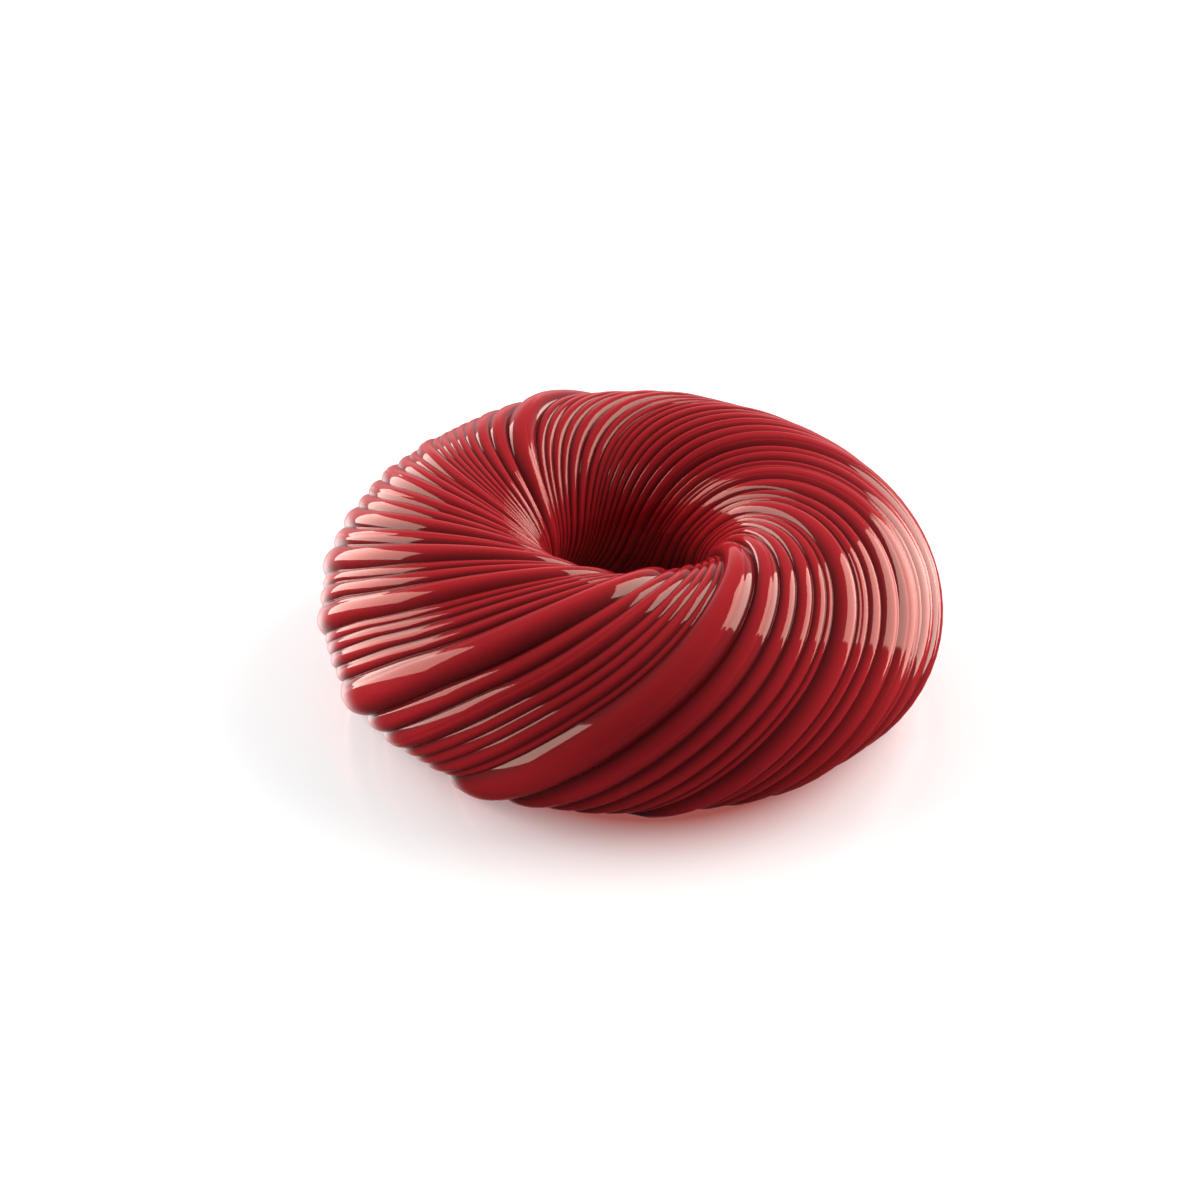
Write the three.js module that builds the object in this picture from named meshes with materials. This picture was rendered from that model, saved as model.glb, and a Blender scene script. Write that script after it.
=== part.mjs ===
// Mirror-glazed ring cake, moulded with uneven folds that twist over the ring.
//
// Millimetres, +Z up. The origin is the middle of the footprint, on the surface that the cake stands on.
// The cake is one solid: a leaning oval section carried round a ring, its skin gathered into folds that
// meet in sharp creases. Each fold climbs the outer flank, crosses the crown and sinks into the hole while
// it turns round the ring. The underside is flat.

import * as THREE from 'three';

const radians = THREE.MathUtils.degToRad;

// The section, as a radius about its own middle. The section angle is 0 at the outer flank, a quarter turn
// at the crown and a half turn at the wall of the hole.
const RING_RADIUS = 56.7;
const SECTION_MIDDLE_HEIGHT = 25.5;
const SECTION_RADIUS = 29.6;
const LEAN = { swell: 4.46, towards: radians(-26) };
const SHOULDER = { swell: 1.26, towards: radians(-52) };
const FOOT = { swell: 5, at: radians(235), spread: radians(30) };

// The flat underside lies between these two section angles.
const OUTER_FOOT_ANGLE = radians(-58);
const INNER_FOOT_ANGLE = radians(262);

// The twist: how far a fold turns round the ring for each unit of section angle, with a slight sway.
const TWIST_RATE = 0.49;
const TWIST_SWAY = { swing: 0.05, phase: radians(60) };

// The twist is lopsided: it is stronger on one side of the ring, low on the outer flank and in the hole.
const LOPSIDED_TOWARDS = radians(190);
const FLANK_DRIFT = { rate: 0.09, below: radians(20) };
const HOLE_DRIFT = { swing: -0.25, at: radians(172), spread: radians(9) };

// The folds: widths in degrees of the ring, one after another from FIRST_CREASE, and together a full turn.
const FIRST_CREASE = 75;
const FOLD_WIDTHS = [
  13, 7.5, 6, 4, 3.5, 3, 3, 2.5, 6.5, 3, 5, 7.5, 6.5, 5.5, 8, 7,
  9.5, 4, 5.5, 9.5, 3, 3.5, 4.5, 4.5, 12.5, 6.5, 7, 4, 3.5, 4.5, 2.5, 14,
  9, 6, 6, 4.5, 2.5, 9, 4.5, 5.5, 8, 9, 3, 3.5, 6.5, 5, 10.5, 7,
  7, 6, 4.5, 5.5, 4, 3, 4, 5, 7, 6.5, 4.5, 5, 4, 4.5,
];

// All creases lie at one level, and a fold rises from it by a power of its width, as it is on the outer
// flank. The relief fades towards the hole, where the folds crowd, and dies out deep in the hole.
const CREASE_LEVEL = -0.6;
const STANDARD_FOLD = { width: 8, rise: 1.6 };
const RISE_POWER = 1.35;
const RELIEF_FADE = 0.3;
const SETTLED = { at: radians(160), reach: radians(12), share: 0.7 };

// Across a fold: a bump, peaked like a tent. Around one side of the ring the folds roll over.
const ROUNDNESS = -0.33;
const FALL_POWER = 2;
const ROLLED = { at: 340, spread: 45, crestShift: 0.32, roundness: 0.35, fullness: 0.8 };

// Mesh density: stations across a fold, and steps from foot to foot over the crown.
const STATIONS_EACH = 2;
const STATIONS_PER_DEGREE = 0.38;
const SECTION_STEPS = 16;

const GLAZE = { color: 0xa81420, roughness: 0.12, metalness: 0 };

/** Radius of the smooth section, without folds, at a section angle. */
function sectionRadius(angle) {
  const lean = LEAN.swell * Math.cos(2 * (angle - LEAN.towards));
  const shoulder = SHOULDER.swell * Math.cos(3 * (angle - SHOULDER.towards));
  const foot = FOOT.swell * Math.exp(-(((angle - FOOT.at) / FOOT.spread) ** 2));
  return SECTION_RADIUS + lean + shoulder + foot;
}

/** How far a fold has turned round the ring at a section angle. */
function twist(angle) {
  return TWIST_RATE * angle + TWIST_SWAY.swing * Math.sin(2 * angle + TWIST_SWAY.phase);
}

/** Further turn of a point that the even twist has carried to an azimuth. */
function drift(azimuth, angle) {
  const flank = FLANK_DRIFT.rate * Math.max(0, FLANK_DRIFT.below - angle);
  const hole = HOLE_DRIFT.swing / (1 + Math.exp((HOLE_DRIFT.at - angle) / HOLE_DRIFT.spread));
  return (flank + hole) * Math.cos(azimuth - LOPSIDED_TOWARDS);
}

/** Azimuth at which a station crosses a section angle. Indices beyond the last station go round again. */
function turnedAzimuth(stations, index, angle) {
  const turned = stations[index % stations.length].azimuth + twist(angle);
  return turned + drift(turned, angle) + 2 * Math.PI * Math.floor(index / stations.length);
}

/** Height across a fold, 0 at its creases and 1 at its crest. */
function foldProfile(across, middle) {
  const rolled = Math.exp(-(((middle - ROLLED.at) / ROLLED.spread) ** 2));
  const crest = 0.5 + ROLLED.crestShift * rolled;
  const roundness = ROUNDNESS + ROLLED.roundness * rolled;
  const rising = Math.min(across / crest - 1, 0);
  const falling = Math.max((across - crest) / (1 - crest), 0);
  const parabola = 1 - rising ** 2;
  const wave = (1 + Math.cos(Math.PI * rising)) / 2;
  return (1 - roundness) * parabola + roundness * wave - falling ** (FALL_POWER + ROLLED.fullness * rolled);
}

/** Stations round the ring, as { azimuth, relief }: each fold bulges between the creases at its two ends. */
function foldStations() {
  const stations = [];
  let crease = FIRST_CREASE;
  FOLD_WIDTHS.forEach((width) => {
    const rise = STANDARD_FOLD.rise * (width / STANDARD_FOLD.width) ** RISE_POWER;
    const steps = Math.round(STATIONS_EACH + STATIONS_PER_DEGREE * width);
    for (let step = 0; step < steps; step += 1) {
      const across = step / steps;
      const relief = CREASE_LEVEL + rise * foldProfile(across, crease + width / 2);
      stations.push({ azimuth: radians(crease + width * across), relief });
    }
    crease += width;
  });
  return stations;
}

/** How much of its relief a fold keeps at a section angle. */
function keptRelief(angle) {
  const reach = RING_RADIUS + sectionRadius(angle) * Math.cos(angle);
  const settled = SETTLED.share / (1 + Math.exp((SETTLED.at - angle) / SETTLED.reach));
  return (1 - settled) * (reach / (RING_RADIUS + SECTION_RADIUS)) ** RELIEF_FADE;
}

/** Point of the skin at a station and a section angle. */
function skinPoint(stations, index, angle) {
  const radius = sectionRadius(angle) + stations[index].relief * keptRelief(angle);
  const isFoot = angle === OUTER_FOOT_ANGLE || angle === INNER_FOOT_ANGLE;
  const height = isFoot ? 0 : Math.max(0, SECTION_MIDDLE_HEIGHT + radius * Math.sin(angle));
  const outward = RING_RADIUS + radius * Math.cos(angle);
  const azimuth = turnedAzimuth(stations, index, angle);
  return new THREE.Vector3(outward * Math.cos(azimuth), outward * Math.sin(azimuth), height);
}

/** Triangles of the flat underside, zipped between the outer foot and the inner foot, facing down. */
function undersideTriangles(stations, innerRow) {
  const count = stations.length;
  const outerAzimuth = (index) => turnedAzimuth(stations, index, OUTER_FOOT_ANGLE);
  const innerAzimuth = (index) => turnedAzimuth(stations, index, INNER_FOOT_ANGLE) - 2 * Math.PI;
  let inner = 0;
  while (innerAzimuth(inner) < outerAzimuth(0)) inner += 1;
  const triangles = [];
  const lastInner = inner + count;
  let outer = 0;
  while (outer < count || inner < lastInner) {
    const innerVertex = innerRow + (inner % count);
    const outerVertex = outer % count;
    const outerIsNext = outerAzimuth(outer + 1) <= innerAzimuth(inner + 1);
    if (outer < count && (outerIsNext || inner === lastInner)) {
      outer += 1;
      triangles.push(outerVertex, innerVertex, outer % count);
    } else {
      inner += 1;
      triangles.push(outerVertex, innerVertex, innerRow + (inner % count));
    }
  }
  return triangles;
}

/** The whole cake as one closed mesh, centred on its footprint. */
function cakeGeometry() {
  const stations = foldStations();
  const count = stations.length;
  const positions = [];
  const triangles = [];
  for (let row = 0; row <= SECTION_STEPS; row += 1) {
    const along = row / SECTION_STEPS;
    const isLast = row === SECTION_STEPS;
    const angle = isLast ? INNER_FOOT_ANGLE : THREE.MathUtils.lerp(OUTER_FOOT_ANGLE, INNER_FOOT_ANGLE, along);
    stations.forEach((station, index) => positions.push(...skinPoint(stations, index, angle)));
  }
  for (let row = 0; row < SECTION_STEPS; row += 1) {
    for (let column = 0; column < count; column += 1) {
      const next = (column + 1) % count;
      const lowerLeft = row * count + column;
      const lowerRight = row * count + next;
      const upperLeft = lowerLeft + count;
      const upperRight = lowerRight + count;
      triangles.push(lowerLeft, lowerRight, upperRight, lowerLeft, upperRight, upperLeft);
    }
  }
  triangles.push(...undersideTriangles(stations, SECTION_STEPS * count));
  const geometry = new THREE.BufferGeometry();
  geometry.setAttribute('position', new THREE.Float32BufferAttribute(positions, 3));
  geometry.setIndex(triangles);
  geometry.computeBoundingBox();
  const middle = geometry.boundingBox.getCenter(new THREE.Vector3());
  geometry.translate(-middle.x, -middle.y, 0);
  geometry.computeVertexNormals();
  return geometry;
}

const cake = new THREE.Mesh(cakeGeometry(), new THREE.MeshStandardMaterial(GLAZE));
cake.name = 'glazed_ring_cake';

const entremet = new THREE.Group();
entremet.add(cake);

export default entremet;
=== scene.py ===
"""Mirror-glazed ring cake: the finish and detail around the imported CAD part.

Metres, +Z up. The origin is the middle of the cake's footprint, on the floor. Angles round the ring are
azimuths from +X towards +Y; the camera stands on the -Y side.
"""

from __future__ import annotations

import logging
import math
from dataclasses import dataclass, field
from enum import Enum
from typing import Any

import bpy
import numpy as np
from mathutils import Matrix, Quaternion, Vector

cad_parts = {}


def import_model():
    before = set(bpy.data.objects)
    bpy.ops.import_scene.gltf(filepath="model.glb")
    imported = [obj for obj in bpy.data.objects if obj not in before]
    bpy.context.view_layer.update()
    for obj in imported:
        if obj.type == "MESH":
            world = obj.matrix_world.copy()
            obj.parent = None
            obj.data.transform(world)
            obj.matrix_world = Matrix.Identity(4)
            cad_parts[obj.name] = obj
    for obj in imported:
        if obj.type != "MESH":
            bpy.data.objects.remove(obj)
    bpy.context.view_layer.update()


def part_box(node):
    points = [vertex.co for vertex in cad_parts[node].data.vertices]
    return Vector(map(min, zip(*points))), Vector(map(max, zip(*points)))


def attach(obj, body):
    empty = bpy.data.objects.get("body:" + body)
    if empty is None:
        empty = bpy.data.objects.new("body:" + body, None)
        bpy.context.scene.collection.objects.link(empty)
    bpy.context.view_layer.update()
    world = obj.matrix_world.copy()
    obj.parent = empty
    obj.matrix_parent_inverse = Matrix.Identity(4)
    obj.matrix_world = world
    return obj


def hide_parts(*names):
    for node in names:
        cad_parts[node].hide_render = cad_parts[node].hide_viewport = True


LOG = logging.getLogger("glazed_ring_cake")

MM = 0.001
FULL_TURN = 2 * math.pi

CAKE_NODE = "glazed_ring_cake"
CAKE_BODY = "root"

Colour = tuple[float, float, float]


def degrees(angle: float) -> float:
    """An angle given in degrees, in radians."""
    return math.radians(angle)


def direction(bearing: float, elevation: float) -> Vector:
    """The way out from the cake at a bearing and an elevation.

    Args:
        bearing: 0 on the camera's side, a quarter turn on the right and a half turn behind the cake.
        elevation: angle above the level.

    Returns:
        The unit vector.
    """
    level = math.cos(elevation)
    return Vector((math.sin(bearing) * level, -math.cos(bearing) * level, math.sin(elevation)))


# ---------------------------------------------------------------------------------------------------------
# Shader nodes


class Ray(Enum):
    """Kinds of ray that a surface or the room answers in its own way."""

    SEEN = "Is Camera Ray"
    MIRRORED = "Is Glossy Ray"


class Value:
    """A number socket that can be written in a formula: each operator adds one Math node."""

    def __init__(self, sheet: NodeSheet, socket: bpy.types.NodeSocket) -> None:
        """Wraps an output socket.

        Args:
            sheet: the node sheet that the socket is on.
            socket: the output socket.
        """
        self.sheet = sheet
        self.socket = socket

    def _maths(self, operation: str, *operands: Any) -> Value:
        """Result of one Math node on the operands."""
        node = self.sheet.add("ShaderNodeMath", {"operation": operation}, dict(enumerate(operands)))
        return Value(self.sheet, node.outputs[0])

    def __add__(self, other: Any) -> Value:
        """self + other."""
        return self._maths("ADD", self, other)

    def __radd__(self, other: Any) -> Value:
        """other + self."""
        return self._maths("ADD", other, self)

    def __sub__(self, other: Any) -> Value:
        """self - other."""
        return self._maths("SUBTRACT", self, other)

    def __rsub__(self, other: Any) -> Value:
        """other - self."""
        return self._maths("SUBTRACT", other, self)

    def __mul__(self, other: Any) -> Value:
        """self * other."""
        return self._maths("MULTIPLY", self, other)

    def __rmul__(self, other: Any) -> Value:
        """other * self."""
        return self._maths("MULTIPLY", other, self)

    def __truediv__(self, other: Any) -> Value:
        """self / other."""
        return self._maths("DIVIDE", self, other)

    def __rtruediv__(self, other: Any) -> Value:
        """other / self."""
        return self._maths("DIVIDE", other, self)

    def __pow__(self, other: Any) -> Value:
        """self to the power of other."""
        return self._maths("POWER", self, other)

    def __rpow__(self, other: Any) -> Value:
        """other to the power of self."""
        return self._maths("POWER", other, self)

    def at_least(self, low: float) -> Value:
        """The larger of self and low."""
        return self._maths("MAXIMUM", self, low)

    def at_most(self, high: float) -> Value:
        """The smaller of self and high."""
        return self._maths("MINIMUM", self, high)

    def clamped(self) -> Value:
        """self, held between 0 and 1."""
        return self.at_least(0.0).at_most(1.0)


class NodeSheet:
    """The node tree of a material or a world."""

    def __init__(self, owner: bpy.types.Material | bpy.types.World) -> None:
        """Clears the owner's nodes.

        Args:
            owner: the material or world that the nodes belong to.
        """
        owner.use_nodes = True
        self.tree = owner.node_tree
        self.tree.nodes.clear()

    def add(
        self,
        kind: str,
        settings: dict[str, Any] | None = None,
        inputs: dict[str | int, Any] | None = None,
    ) -> bpy.types.Node:
        """Adds one node.

        Args:
            kind: the node's type.
            settings: its own properties, set before its sockets are.
            inputs: a plain value, a Value or an output socket for each input socket that is used.

        Returns:
            The node.
        """
        node = self.tree.nodes.new(kind)
        for name, setting in (settings or {}).items():
            setattr(node, name, setting)
        for name, source in (inputs or {}).items():
            socket = node.inputs[name]
            if isinstance(source, Value):
                source = source.socket
            if isinstance(source, bpy.types.NodeSocket):
                self.tree.links.new(source, socket)
            else:
                socket.default_value = source
        return node

    def value(self, socket: bpy.types.NodeSocket) -> Value:
        """An output socket, ready for a formula."""
        return Value(self, socket)

    def ray(self, kind: Ray) -> Value:
        """1 for rays of one kind, and 0 for all others."""
        return self.value(self.add("ShaderNodeLightPath").outputs[kind.value])

    def mixed(self, below: Any, above: Any, factor: Any) -> bpy.types.NodeSocket:
        """One colour laid over another.

        Args:
            below: colour or colour socket where the factor is 0.
            above: colour or colour socket where the factor is 1.
            factor: how much of the upper colour shows.

        Returns:
            The socket of the mixed colour.
        """
        node = self.add("ShaderNodeMix", {"data_type": "RGBA"}, {"Factor": factor, 6: below, 7: above})
        return node.outputs[2]

    def noise(self, place: bpy.types.NodeSocket, scale: float, detail: float) -> Value:
        """Soft noise between about 0 and 1.

        Args:
            place: socket of the coordinates.
            scale: noise cells in each unit of the coordinates.
            detail: how many finer layers lie on the first.

        Returns:
            The noise.
        """
        node = self.add("ShaderNodeTexNoise", None, {"Vector": place, "Scale": scale, "Detail": detail})
        return self.value(node.outputs[0])


def opaque(colour: Colour) -> tuple[float, float, float, float]:
    """A colour with full alpha."""
    return (*colour, 1.0)


WHITE = opaque((1.0, 1.0, 1.0))


# ---------------------------------------------------------------------------------------------------------
# Finishes


@dataclass(frozen=True)
class MirrorGlaze:
    """Cherry-red mirror glaze: a set gel, glossy as wet paint, darker in the creases, partly for the deeper
    colour of pooled glaze and partly as painted shade.
    """

    body: Colour = (0.585, 0.025, 0.0375)
    # Dark crease colour: pooled glaze, darkened further as painted shade in the creases.
    pooled_and_shaded: Colour = (0.14, 0.012, 0.015)
    cloud: Colour = (0.43, 0.015, 0.02)
    cloud_scale: float = 60.0
    cloud_detail: float = 3.0
    cloud_from: float = 0.5
    cloud_gain: float = 1.6
    # Power of the height above the crease that widens the painted shade near the creases.
    shade_power: float = 1.7
    unevenness: float = 0.18
    refraction: float = 1.49
    reflected: Colour = (1.0, 0.87, 0.8)
    smooth: float = 0.045
    dulled: float = 0.08
    ripple_height: float = 0.006 * MM
    ripple_scale: float = 400.0
    ripple_detail: float = 1.0

    def material(self) -> bpy.types.Material:
        """Node material of the glaze.

        The colour turns from the dark crease colour to body with a power of the height above the crease, a
        little unevenly; the darkening is partly the deeper red of pooled glaze and partly painted shade. A
        cloud of slightly deeper red and faint ripples, both drawn out along the folds, follow the way the
        glaze ran.

        Returns:
            The material.
        """
        material = bpy.data.materials.new("cherry_mirror_glaze")
        sheet = NodeSheet(material)
        flow = sheet.add("ShaderNodeAttribute", {"attribute_name": CakeSkin.FLOW}).outputs["Vector"]
        stored = sheet.add("ShaderNodeAttribute", {"attribute_name": CakeSkin.HEIGHT})
        height = sheet.value(stored.outputs["Fac"])
        clouds = sheet.noise(flow, self.cloud_scale, self.cloud_detail)
        ripples = sheet.noise(flow, self.ripple_scale, self.ripple_detail)
        # Painted shade: how far the colour is lifted from the dark crease colour, by the height above the
        # crease.
        risen = (height**self.shade_power * (1 - self.unevenness) + self.unevenness * clouds).clamped()
        colour = sheet.mixed(opaque(self.pooled_and_shaded), opaque(self.body), risen)
        clouded = (clouds - self.cloud_from).at_least(0.0) * self.cloud_gain
        colour = sheet.mixed(colour, opaque(self.cloud), clouded)
        roughness = self.smooth + (self.dulled - self.smooth) * clouds
        rippled = {"Strength": 1.0, "Distance": self.ripple_height, "Height": ripples}
        bump = sheet.add("ShaderNodeBump", None, rippled)
        shader = sheet.add(
            "ShaderNodeBsdfPrincipled",
            None,
            {
                "Base Color": colour,
                "Roughness": roughness,
                "IOR": self.refraction,
                "Specular Tint": opaque(self.reflected),
                "Normal": bump.outputs[0],
            },
        )
        sheet.add("ShaderNodeOutputMaterial", None, {"Surface": shader.outputs[0]})
        return material


@dataclass(frozen=True)
class WhiteFloor:
    """Satin white table top with a painted red shadow round the foot of the cake, standing for its contact
    shadow and the red light the cake throws and mirrors on it, and lit from within.
    """

    colour: Colour = (0.88, 0.97, 1.0)
    # Painted shadow: the cake's contact shadow, reddened as painted light thrown and mirrored from the cake.
    painted_red_shadow: Colour = (0.57, 0.15, 0.13)
    painted_red_shadow_middle: tuple[float, float, float] = (5 * MM, -30 * MM, 0.0)
    painted_red_shadow_from: float = 52 * MM
    painted_red_shadow_reach: float = 15 * MM
    roughness: float = 0.22
    refraction: float = 2.2
    glow: float = 0.58

    def material(self) -> bpy.types.Material:
        """Node material of the floor.

        The painted red shadow fades as the exponential of the distance from the foot, in the base colour and
        in the glow alike. The glow is for the eye alone and doesn't light the cake.

        Returns:
            The material.
        """
        material = bpy.data.materials.new("white_table_top")
        sheet = NodeSheet(material)
        place = sheet.add("ShaderNodeTexCoord").outputs["Object"]
        ends = {0: place, 1: self.painted_red_shadow_middle}
        measured = sheet.add("ShaderNodeVectorMath", {"operation": "DISTANCE"}, ends)
        away = sheet.value(measured.outputs["Value"])
        # Painted red shadow and painted red bounce light round the foot of the cake.
        shadowing = math.e ** ((self.painted_red_shadow_from - away).at_most(0.0) / self.painted_red_shadow_reach)
        shadowed = sheet.mixed(opaque(self.colour), opaque(self.painted_red_shadow), shadowing)
        shader = sheet.add(
            "ShaderNodeBsdfPrincipled",
            None,
            {
                "Base Color": shadowed,
                "Roughness": self.roughness,
                "IOR": self.refraction,
                "Emission Color": shadowed,
                "Emission Strength": self.glow * sheet.ray(Ray.SEEN),
            },
        )
        sheet.add("ShaderNodeOutputMaterial", None, {"Surface": shader.outputs[0]})
        return material


# ---------------------------------------------------------------------------------------------------------
# The cake


@dataclass(frozen=True)
class RingSection:
    """Smooth section of the cake, without folds, carried round a ring.

    It is a radius about the section's own middle. The section angle is 0 at the outer flank, a quarter turn
    at the crown and a half turn at the wall of the hole.
    """

    ring_radius: float = 56.7 * MM
    middle_height: float = 25.5 * MM
    mean_radius: float = 29.6 * MM
    lean_swell: float = 4.46 * MM
    lean_towards: float = degrees(-26)
    shoulder_swell: float = 1.26 * MM
    shoulder_towards: float = degrees(-52)
    foot_swell: float = 5.0 * MM
    foot_at: float = degrees(235)
    foot_spread: float = degrees(30)
    outer_foot: float = degrees(-58)
    inner_foot: float = degrees(262)

    def radius(self, angle: np.ndarray) -> np.ndarray:
        """Radius of the section at a section angle.

        The mean radius, plus a twofold cosine that makes the oval lean, a threefold cosine that gives it a
        shoulder, and a bell that fills the foot inside the hole.

        Args:
            angle: section angles.

        Returns:
            The radii.
        """
        lean = self.lean_swell * np.cos(2 * (angle - self.lean_towards))
        shoulder = self.shoulder_swell * np.cos(3 * (angle - self.shoulder_towards))
        foot = self.foot_swell * np.exp(-(((angle - self.foot_at) / self.foot_spread) ** 2))
        return self.mean_radius + lean + shoulder + foot


@dataclass(frozen=True)
class FoldTwist:
    """How a fold turns round the ring while it climbs the section."""

    rate: float = 0.49
    sway: float = 0.05
    sway_phase: float = degrees(60)
    lopsided_towards: float = degrees(190)
    flank_drift: float = 0.09
    flank_below: float = degrees(20)
    hole_drift: float = -0.25
    hole_at: float = degrees(172)
    hole_spread: float = degrees(9)

    def turn(self, angle: np.ndarray) -> np.ndarray:
        """Turn at a section angle: the rate times the angle, plus a slight twofold sway."""
        return self.rate * angle + self.sway * np.sin(2 * angle + self.sway_phase)

    def drift(self, azimuth: np.ndarray, angle: np.ndarray) -> np.ndarray:
        """Further turn that makes the twist lopsided.

        It goes with the cosine of the azimuth. It grows evenly down the outer flank, and sets in with a
        logistic step at the wall of the hole.

        Args:
            azimuth: azimuths of points after the even turn.
            angle: their section angles.

        Returns:
            The further turn of each point.
        """
        flank = self.flank_drift * np.maximum(0.0, self.flank_below - angle)
        hole = self.hole_drift / (1 + np.exp((self.hole_at - angle) / self.hole_spread))
        return (flank + hole) * np.cos(azimuth - self.lopsided_towards)

    def carried(self, azimuth: np.ndarray, angle: np.ndarray) -> np.ndarray:
        """Azimuths to which the whole twist carries the columns.

        Args:
            azimuth: azimuths of the columns.
            angle: section angles, each the only entry of its row.

        Returns:
            The azimuths, as rows by columns.
        """
        turned = azimuth + self.turn(angle)
        return turned + self.drift(turned, angle)


@dataclass(frozen=True)
class FoldPattern:
    """The folds round the ring, one after another, and their relief on the outer flank.

    Widths and grooves are in degrees of the ring. The first 46 widths were found by a search program, and
    the other widths and the grooves are listed. The folds roll over, like breaking waves, around one
    azimuth.
    """

    first_crease: float = 75.0
    widths: tuple[float, ...] = (
        *(13, 7.5, 6, 4, 3.5, 3, 3, 2.5, 6.5, 3, 5, 7.5, 6.5, 5.5, 8, 7),
        *(9.5, 4, 5.5, 9.5, 3, 3.5, 4.5, 4.5, 12.5, 6.5, 7, 4, 3.5, 4.5, 2.5, 14),
        *(9, 6, 6, 4.5, 2.5, 9, 4.5, 5.5, 8, 9, 3, 3.5, 6.5, 5, 10.5, 7),
        *(7, 6, 4.5, 5.5, 4, 3, 4, 5, 7, 6.5, 4.5, 5, 4, 4.5),
    )
    grooves: tuple[float, ...] = (
        *(80, 92, 121, 136, 144, 153.2, 163.5, 187.7, 202.5, 207, 212.7, 223.3, 233, 261),
        *(271, 285.5, 303.5, 311.2, 317.6, 324, 333, 351, 368, 391, 410, 427),
    )
    standard_width: float = 8.0
    standard_rise: float = 1.6 * MM
    rise_power: float = 1.35
    level: float = -0.6 * MM
    roundness: float = -0.33
    fall_power: float = 2.0
    rolled_at: float = 340.0
    rolled_spread: float = 45.0
    rolled_crest: float = 0.32
    rolled_roundness: float = 0.35
    rolled_fullness: float = 0.8
    groove_depth: float = 0.15 * MM
    groove_reach: float = 0.45
    fade: float = 0.3
    settled_at: float = degrees(160)
    settled_reach: float = degrees(12)
    settled_share: float = 0.7
    columns_each: int = 4
    columns_per_degree: float = 2.9
    crowding: float = 0.45

    def columns(self) -> tuple[np.ndarray, np.ndarray, np.ndarray]:
        """Grid columns across the folds, crowded together near the creases.

        All creases lie at one level, and a fold rises from it by a power of its width. Across a fold the
        relief goes from crease to crest and back as a bump profile.

        Returns:
            The azimuths in radians, the reliefs in metres, and the height above the crease from 0 to 1.
        """
        widths = np.array(self.widths)
        creases = self.first_crease + np.concatenate([[0.0], np.cumsum(widths)[:-1]])
        counts = np.round(self.columns_each + self.columns_per_degree * widths).astype(int)
        fold = np.repeat(np.arange(widths.size), counts)
        step = np.arange(counts.sum()) - np.repeat(np.cumsum(counts) - counts, counts)
        even = step / counts[fold]
        across = even - self.crowding * np.sin(FULL_TURN * even) / FULL_TURN
        station = creases[fold] + widths[fold] * across
        rises = self.standard_rise * (widths / self.standard_width) ** self.rise_power
        profile = self._profile(across, (creases + widths / 2)[fold])
        away = (station[:, None] - np.array(self.grooves)) / self.groove_reach
        groove = self.groove_depth * np.exp(-(away**2)).sum(axis=1)
        relief = self.level + rises[fold] * profile - groove
        return np.radians(station), relief, profile

    def settled(self, angle: np.ndarray) -> np.ndarray:
        """Share of the relief that a fold keeps, falling in a logistic step at the wall of the hole."""
        return 1 - self.settled_share / (1 + np.exp((self.settled_at - angle) / self.settled_reach))

    def _profile(self, across: np.ndarray, middle: np.ndarray) -> np.ndarray:
        """Bump profile of a fold, 0 at its creases and 1 at its crest.

        The side before the crest is a blend of a parabola and a cosine. The side after it falls by a power
        of the way from the crest. A fold that rolls over has its crest further on, a rounder trough before
        it and a fuller side after it.

        Args:
            across: places across the fold, from 0 to 1.
            middle: azimuth of the fold's middle at each place, in degrees.

        Returns:
            The profile at each place.
        """
        rolled = np.exp(-(((middle - self.rolled_at) / self.rolled_spread) ** 2))
        crest = 0.5 + self.rolled_crest * rolled
        rising = np.minimum(across / crest - 1, 0.0)
        falling = np.maximum((across - crest) / (1 - crest), 0.0)
        roundness = self.roundness + self.rolled_roundness * rolled
        before = (1 - roundness) * (1 - rising**2) + roundness * (1 + np.cos(math.pi * rising)) / 2
        return before - falling ** (self.fall_power + self.rolled_fullness * rolled)


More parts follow.
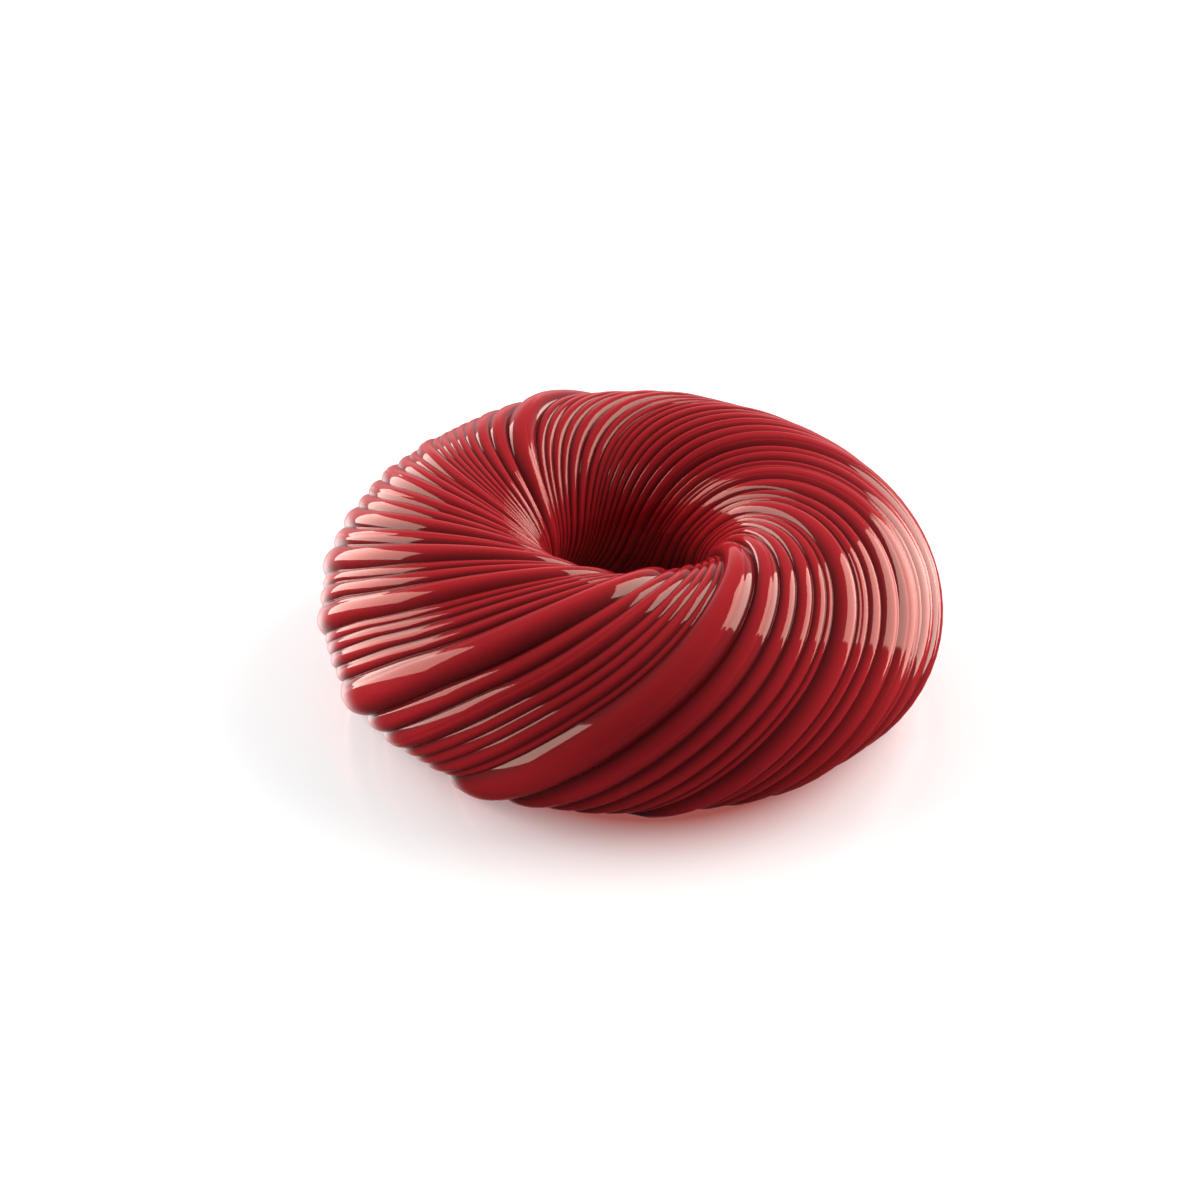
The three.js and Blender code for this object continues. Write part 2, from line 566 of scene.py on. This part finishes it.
@dataclass
class CakeSkin:
    """The glazed skin of the whole cake, one closed surface."""

    FLOW = "glaze_flow"
    HEIGHT = "fold_height"

    section: RingSection = field(default_factory=RingSection)
    twist: FoldTwist = field(default_factory=FoldTwist)
    folds: FoldPattern = field(default_factory=FoldPattern)
    glaze: MirrorGlaze = field(default_factory=MirrorGlaze)
    rows: int = 72
    flow_stretch: float = 0.12

    def surface(self, azimuth: np.ndarray, relief: np.ndarray, angle: np.ndarray) -> np.ndarray:
        """The skin as a function of the place round the ring and the section angle.

        The relief is added to the section's radius, fading with a power of the distance from the cake's
        axis. The point then turns round the axis by the column's azimuth plus the twist at its section
        angle. Nothing is lower than the floor, and both feet stand on it.

        Args:
            azimuth: azimuths of the columns.
            relief: reliefs of the columns.
            angle: section angles of the rows.

        Returns:
            Points, as rows by columns by three.
        """
        smooth = self.section.radius(angle)[:, None]
        lie = np.cos(angle)[:, None]
        rise = np.sin(angle)[:, None]
        flank = self.section.ring_radius + self.section.mean_radius
        reach = self.section.ring_radius + smooth * lie
        kept = self.folds.settled(angle)[:, None] * (reach / flank) ** self.folds.fade
        radius = smooth + relief * kept
        outward = self.section.ring_radius + radius * lie
        height = np.maximum(0.0, self.section.middle_height + radius * rise)
        height[[0, -1]] = 0.0
        carried = self.twist.carried(azimuth, angle[:, None])
        return np.stack([outward * np.cos(carried), outward * np.sin(carried), height], axis=-1)

    def flank_faces(self, rows: int, columns: int) -> np.ndarray:
        """Quads between neighbouring rows and columns all the way round, facing outwards."""
        row, column = np.meshgrid(np.arange(rows - 1), np.arange(columns), indexing="ij")
        following = (column + 1) % columns
        low, high = row * columns, (row + 1) * columns
        return np.stack([low + column, low + following, high + following, high + column], -1).reshape(-1, 4)

    def underside_faces(self, outer: np.ndarray, inner: np.ndarray, inner_start: int) -> np.ndarray:
        """Triangles of the flat underside, facing down.

        Both loops are sorted by azimuth. Every step along one loop makes a triangle with the last point
        that was passed on the other.

        Args:
            outer: azimuths of the outer foot's points.
            inner: azimuths of the inner foot's points.
            inner_start: number of the inner foot's first vertex.

        Returns:
            The triangles.
        """
        count = outer.size
        outer_order = np.argsort(outer % FULL_TURN)
        inner_order = np.argsort(inner % FULL_TURN)
        outer_sorted = (outer % FULL_TURN)[outer_order]
        inner_sorted = (inner % FULL_TURN)[inner_order]
        step = np.arange(count)
        passed_inner = np.searchsorted(inner_sorted, outer_sorted[step], side="left") - 1
        passed_outer = np.searchsorted(outer_sorted, inner_sorted[step], side="right") - 1
        inner_vertices = inner_order + inner_start
        along_outer = [outer_order[step - 1], inner_vertices[passed_inner], outer_order[step]]
        along_inner = [outer_order[passed_outer], inner_vertices[step - 1], inner_vertices[step]]
        return np.concatenate([np.stack(along_outer, -1), np.stack(along_inner, -1)])

    def build(self) -> bpy.types.Object:
        """Makes the skin, centred over its footprint, with its flow and height attributes.

        Returns:
            The skin's object.
        """
        azimuth, relief, height = self.folds.columns()
        angle = np.linspace(self.section.outer_foot, self.section.inner_foot, self.rows + 1)
        grid = self.surface(azimuth, relief, angle)
        rows, columns = grid.shape[:2]
        points = grid.reshape(-1, 3)
        middle = (points.min(axis=0) + points.max(axis=0)) / 2
        points = points - [middle[0], middle[1], 0.0]
        feet = self.twist.carried(azimuth, angle[[0, -1], None])
        quads = self.flank_faces(rows, columns)
        triangles = self.underside_faces(*feet, (rows - 1) * columns)
        mesh = bpy.data.meshes.new("glaze_skin")
        mesh.from_pydata(points, [], [*quads.tolist(), *triangles.tolist()])
        mesh.shade_smooth()
        self._mark_flow(mesh, azimuth, angle)
        self._mark_height(mesh, height, rows)
        mesh.materials.append(self.glaze.material())
        skin = bpy.data.objects.new("glaze_skin", mesh)
        bpy.context.scene.collection.objects.link(skin)
        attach(skin, CAKE_BODY)
        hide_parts(CAKE_NODE)
        LOG.info("glaze_skin: %d columns, %d rows", columns, rows)
        return skin

    def _mark_flow(self, mesh: bpy.types.Mesh, azimuth: np.ndarray, angle: np.ndarray) -> None:
        """Stores coordinates that run with the folds: a circle round the ring, and the way up the section.

        Args:
            mesh: the skin's mesh.
            azimuth: azimuths of the columns.
            angle: section angles of the rows.
        """
        reach = self.section.ring_radius + self.section.mean_radius
        along = self.flow_stretch * self.section.mean_radius * angle[:, None]
        flow = np.stack(np.broadcast_arrays(reach * np.cos(azimuth), reach * np.sin(azimuth), along), -1)
        attribute = mesh.attributes.new(self.FLOW, "FLOAT_VECTOR", "POINT")
        attribute.data.foreach_set("vector", flow.astype(np.float32).ravel())

    def _mark_height(self, mesh: bpy.types.Mesh, height: np.ndarray, rows: int) -> None:
        """Stores how far each point stands above its crease, from 0 to 1."""
        attribute = mesh.attributes.new(self.HEIGHT, "FLOAT", "POINT")
        attribute.data.foreach_set("value", np.tile(height, rows).astype(np.float32))


# ---------------------------------------------------------------------------------------------------------
# The studio


@dataclass(frozen=True)
class Softbox:
    """A rectangular soft light that faces the cake.

    The lean turns the box in its own plane, its top towards the bearing's start.
    """

    name: str
    bearing: float
    elevation: float
    distance: float
    width: float
    height: float
    lean: float
    radiance: float
    colour: Colour = (1.0, 0.83, 0.74)

    def build(self, aim: Vector) -> bpy.types.Object:
        """Makes the light.

        Args:
            aim: the point that it faces.

        Returns:
            The light's object.
        """
        light = bpy.data.lights.new(self.name, "AREA")
        light.shape = "RECTANGLE"
        light.size = self.width
        light.size_y = self.height
        light.energy = self.radiance * math.pi * self.width * self.height
        light.color = self.colour
        lamp = bpy.data.objects.new(self.name, light)
        outward = direction(self.bearing, self.elevation)
        lamp.location = aim + outward * self.distance
        lamp.rotation_mode = "QUATERNION"
        lamp.rotation_quaternion = outward.to_track_quat("Z", "Y") @ Quaternion((0.0, 0.0, 1.0), self.lean)
        bpy.context.scene.collection.objects.link(lamp)
        LOG.info("%s: a softbox %.2f by %.2f m", self.name, self.width, self.height)
        return lamp


@dataclass(frozen=True)
class TablePatch:
    """A soft round patch of light in the table top, which only the glaze mirrors."""

    bearing: float
    elevation: float
    spread: float
    radiance: float
    colour: Colour

    def shader(self, sheet: NodeSheet, place: bpy.types.NodeSocket) -> bpy.types.NodeSocket:
        """Light of the patch, a bell over the angle from its middle.

        Args:
            sheet: the world's node sheet.
            place: socket of the direction that is looked in.

        Returns:
            The socket of the background shader.
        """
        ways = {0: place, 1: direction(self.bearing, self.elevation)}
        facing = sheet.add("ShaderNodeVectorMath", {"operation": "DOT_PRODUCT"}, ways)
        off_middle = (sheet.value(facing.outputs["Value"]) - 1.0) * 2.0 / self.spread**2
        strength = self.radiance * math.e**off_middle
        inputs = {"Color": opaque(self.colour), "Strength": strength}
        return sheet.add("ShaderNodeBackground", None, inputs).outputs[0]


@dataclass
class Studio:
    """White floor, two softboxes at the sides, and a dim room that is lighter behind the cake.

    The table top mirrors the left softbox as a soft glint, and behind the cake it is red with the light
    that the cake throws on it.
    """

    floor_half_width: float = 6.0
    mirrored_half_width: float = 50 * MM
    film_height: float = 0.05 * MM
    floor: WhiteFloor = field(default_factory=WhiteFloor)
    # The table in the hole is painted all over in the pink of shade and of red light bounced from the cake,
    # and glows for the eye.
    floor_in_hole: WhiteFloor = WhiteFloor(painted_red_shadow=(0.88, 0.56, 0.53), glow=0.35)
    softboxes: tuple[Softbox, ...] = (
        Softbox("softbox_left", degrees(-115), degrees(15.5), 3.0, 4.2, 2.1, degrees(36), 4.8),
        Softbox("softbox_right", degrees(118), degrees(18), 3.0, 2.6, 3.8, degrees(6), 5.4),
    )
    room_front: float = 0.06
    room_back: float = 0.29
    backdrop: float = 0.75
    backdrop_narrowness: float = 3.0
    backdrop_height: float = 0.3
    dark_below: float = -0.5
    seen_white: float = 1.1
    mirrored_colour: Colour = (1.0, 0.56, 0.58)
    table_shine: float = 0.07
    table_patches: tuple[TablePatch, ...] = (
        TablePatch(degrees(-148), degrees(-30), degrees(14.5), 1.75, (1.0, 1.0, 1.0)),
        TablePatch(degrees(180), degrees(-32), degrees(26), 0.55, (1.0, 0.13, 0.12)),
    )

    def build(self, aim: Vector) -> None:
        """Makes the floor, the lights and the room.

        Args:
            aim: the middle of the cake.
        """
        self._lay_floor("floor", self.floor, self.floor_half_width, 0.0)
        half = self.mirrored_half_width
        self._lay_floor("floor_under_cake", self.floor_in_hole, half, self.film_height, mirrored=True)
        for softbox in self.softboxes:
            softbox.build(aim)
        self._paint_room()

    def _lay_floor(
        self, name: str, finish: WhiteFloor, half: float, height: float, mirrored: bool = False
    ) -> None:
        """Makes a square of floor.

        Args:
            name: name of the piece.
            finish: its finish.
            half: half of its width.
            height: its height.
            mirrored: whether the glaze mirrors it.
        """
        corners = [(-half, -half, height), (half, -half, height), (half, half, height), (-half, half, height)]
        mesh = bpy.data.meshes.new(name)
        mesh.from_pydata(corners, [], [(0, 1, 2, 3)])
        mesh.materials.append(finish.material())
        floor = bpy.data.objects.new(name, mesh)
        floor.visible_glossy = mirrored
        bpy.context.scene.collection.objects.link(floor)
        LOG.info("%s: %.2f m wide", name, 2 * half)

    def _paint_room(self) -> None:
        """Makes the world: grey that brightens from the camera's side to the back.

        A white backdrop stands behind the cake, brightest at the horizon. Downwards the room gives way to
        the dim shine of the table top and the patches of light in it.
        """
        world = bpy.data.worlds.new("room")
        bpy.context.scene.world = world
        sheet = NodeSheet(world)
        place = sheet.add("ShaderNodeTexCoord").outputs["Generated"]
        split = sheet.add("ShaderNodeSeparateXYZ", None, {"Vector": place})
        backward = sheet.value(split.outputs["Y"]) * 0.5 + 0.5
        upward = sheet.value(split.outputs["Z"])
        from_horizon = upward / self.backdrop_height
        narrowed = self.backdrop * backward**self.backdrop_narrowness
        backdrop = narrowed * math.e ** (-1.0 * from_horizon * from_horizon)
        open_room = (1.0 - upward / self.dark_below).clamped()
        room = self.room_front + (self.room_back - self.room_front) * backward + backdrop
        strength = self.table_shine + (room - self.table_shine) * open_room
        shown = strength + (self.seen_white - strength) * sheet.ray(Ray.SEEN)
        colour = sheet.mixed(WHITE, opaque(self.mirrored_colour), sheet.ray(Ray.MIRRORED))
        light = sheet.add("ShaderNodeBackground", None, {"Color": colour, "Strength": shown}).outputs[0]
        for patch in self.table_patches:
            both = sheet.add("ShaderNodeAddShader", None, {0: light, 1: patch.shader(sheet, place)})
            light = both.outputs[0]
        sheet.add("ShaderNodeOutputWorld", None, {"Surface": light})


@dataclass(frozen=True)
class Viewpoint:
    """The camera: in front of the cake and above it."""

    elevation: float = degrees(32.127)
    distance: float = 0.8
    turned_about: tuple[float, float, float] = (-0.25 * MM, 0.0, 27.5 * MM)
    aim: tuple[float, float, float] = (-8.4 * MM, -4.46 * MM, 20.4 * MM)
    lens: float = 83.33
    sensor: float = 36.0

    def build(self) -> bpy.types.Object:
        """Makes the camera and gives it to the scene.

        Returns:
            The camera's object.
        """
        camera = bpy.data.cameras.new("camera")
        camera.lens = self.lens
        camera.sensor_width = self.sensor
        eye = bpy.data.objects.new("camera", camera)
        back = Vector((0.0, -math.cos(self.elevation), math.sin(self.elevation)))
        eye.location = Vector(self.turned_about) + back * self.distance
        eye.rotation_mode = "QUATERNION"
        eye.rotation_quaternion = (Vector(self.aim) - eye.location).to_track_quat("-Z", "Y")
        bpy.context.scene.collection.objects.link(eye)
        bpy.context.scene.camera = eye
        LOG.info("camera: %.0f mm lens, %.0f mm away", self.lens, self.distance / MM)
        return eye


def main() -> None:
    """Builds the cake and its studio."""
    logging.basicConfig(level=logging.INFO)
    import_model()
    low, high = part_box(CAKE_NODE)
    scene = bpy.context.scene
    scene.view_settings.view_transform = "Standard"
    Viewpoint().build()
    CakeSkin().build()
    Studio().build((low + high) / 2)


if __name__ == "__main__":
    main()
